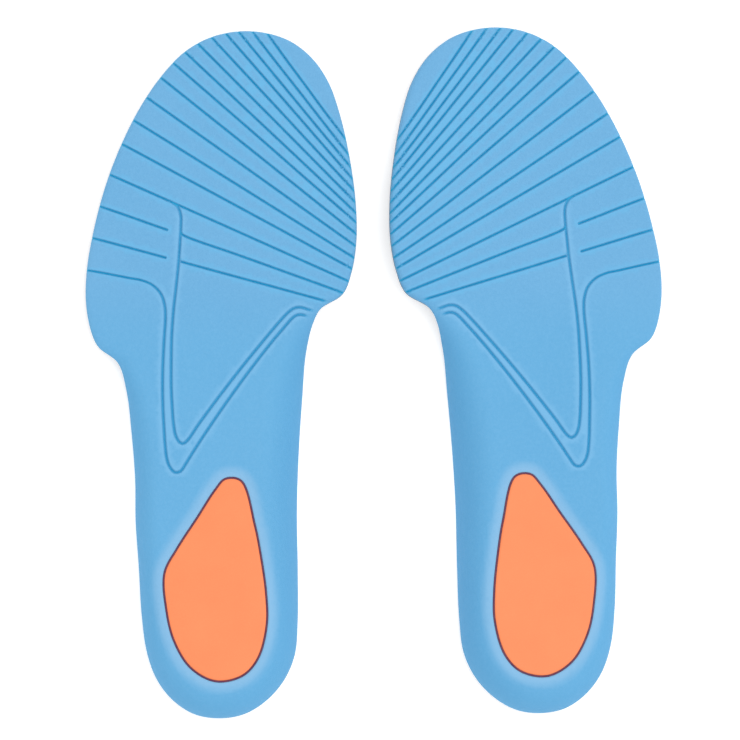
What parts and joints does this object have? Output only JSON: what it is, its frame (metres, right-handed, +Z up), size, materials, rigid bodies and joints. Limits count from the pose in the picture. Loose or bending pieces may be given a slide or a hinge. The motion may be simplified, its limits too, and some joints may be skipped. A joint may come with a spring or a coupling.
{
  "type": "cushioned insole pair",
  "caption": "Matched left and right full-length cushioned insoles: moulded foam with heel cup, arch wall, fanned flex grooves and an inset heel shock pad.",
  "frame": {"origin": "centre of the pair's footprint, on the surface it lies on", "axes": "+X across the pair, +Y towards the toes, +Z up out of the soles; the insoles lie foot side down and mirror each other in the plane X = 0"},
  "size_m": [0.227, 0.2702, 0.0236],
  "materials": {
    "foam": "matte",
    "pad": "satin",
    "adhesive": "satin",
    "cover": "matte"
  },
  "bodies": {
    "right_insole": {"right_foam_base": "foam", "right_heel_pad": "pad", "right_heel_pad_adhesive": "adhesive", "right_top_cover": "cover"},
    "left_insole": {"left_foam_base": "foam", "left_heel_pad": "pad", "left_heel_pad_adhesive": "adhesive", "left_top_cover": "cover"}
  },
  "joints": [
    {"name": "left_insole_lift", "type": "slide", "parent": "right_insole", "child": "left_insole", "axis": [0, 0, 1], "range_m": [0, 0.1]}
  ]
}
